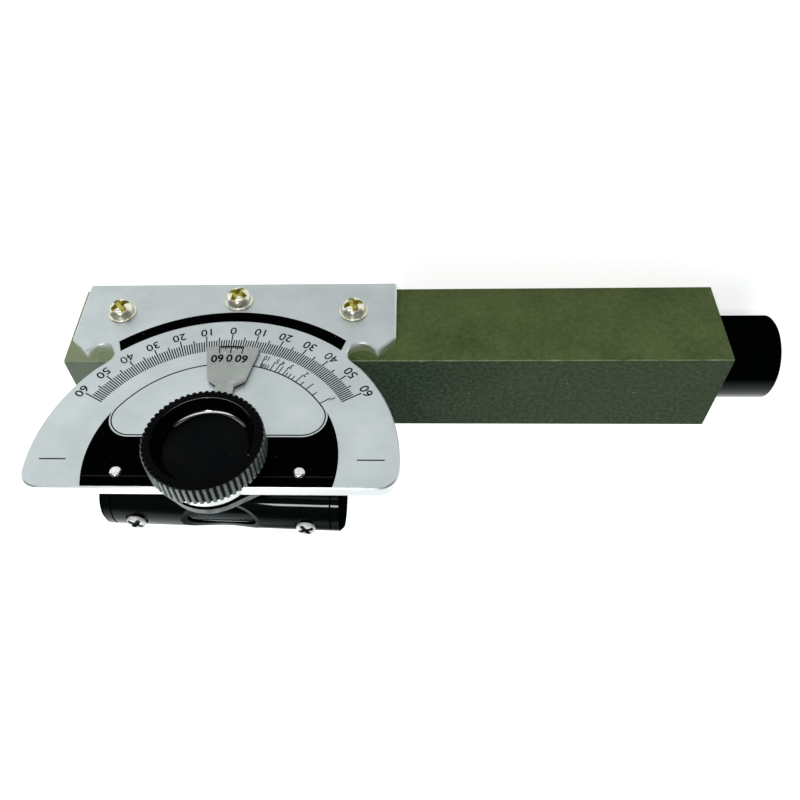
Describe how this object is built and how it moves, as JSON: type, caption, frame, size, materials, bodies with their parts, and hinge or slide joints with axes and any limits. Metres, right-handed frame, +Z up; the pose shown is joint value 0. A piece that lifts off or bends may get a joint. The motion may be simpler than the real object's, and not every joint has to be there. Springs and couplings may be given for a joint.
{
  "type": "abney level",
  "caption": "Hand-held slope gauge: square sighting tube with eyepiece, side scale plate, and a spirit level turned by a knurled knob with an index arm.",
  "frame": {"origin": "on the underside of the sighting tube, midway across it and straight below the pivot of the index arm", "axes": "+X along the line of sight, away from the eyepiece; +Z up, from the tube to the level; +Y from the scale plate's side to the tube's far side"},
  "size_m": [0.1388, 0.0282, 0.0547],
  "materials": {
    "tube_enamel": "olive green wrinkle enamel on brass tube",
    "plate_aluminium": "satin anodised aluminium, scale printed in black",
    "zinc_steel": "yellow passivated zinc plate on steel",
    "bright_steel": "bright nickel plated steel",
    "bush_brass": "turned brass, bare",
    "black_enamel": "gloss black enamel on brass",
    "dull_black": "dull black inside paint",
    "arm_nickel": "satin nickel plated brass sheet",
    "knob_black": "black moulded plastic with knurled rim",
    "mirror_glass": "silvered glass",
    "lens_glass": "clear polished glass",
    "vial_glass": "clear glass tube, ground inside",
    "spirit": "tinted spirit",
    "seat_plaster": "dark setting compound round a metal seat"
  },
  "bodies": {
    "frame": {"sighting_tube": "tube_enamel", "scale_plate": "plate_aluminium", "plate_screws": "zinc_steel", "stop_pins": "bright_steel", "pivot_bush": "bush_brass", "objective_frame": "dull_black", "cross_wire": "bright_steel", "mirror": "mirror_glass", "mirror_block": "dull_black", "mirror_screw": "zinc_steel", "draw_sleeve": "dull_black"},
    "level_arm": {"pivot_shaft": "bright_steel", "spring_washer": "bush_brass", "index_arm": "arm_nickel", "knob_washer": "bush_brass", "knob": "knob_black", "knob_cap": "knob_black", "knob_screw": "bright_steel", "level_bracket": "black_enamel", "level_housing": "black_enamel", "front_end_cap": "black_enamel", "rear_end_cap": "black_enamel", "level_vial": "vial_glass", "level_spirit": "spirit", "front_vial_seat": "seat_plaster", "rear_vial_seat": "seat_plaster", "adjusting_screws": "bright_steel"},
    "eyepiece": {"draw_tube": "dull_black", "eyepiece_head": "black_enamel", "eye_disc": "dull_black", "lens_cell": "dull_black", "bubble_lens": "lens_glass"}
  },
  "joints": [
    {"name": "arm_turn", "type": "hinge", "parent": "frame", "child": "level_arm", "pos_m": [0, -0.012, 0.04432], "axis": [0, 1, 0], "range_deg": [-89.75, 86.25]},
    {"name": "eyepiece_draw", "type": "slide", "parent": "frame", "child": "eyepiece", "axis": [-1, 0, 0], "range_m": [0, 0.0249]}
  ]
}
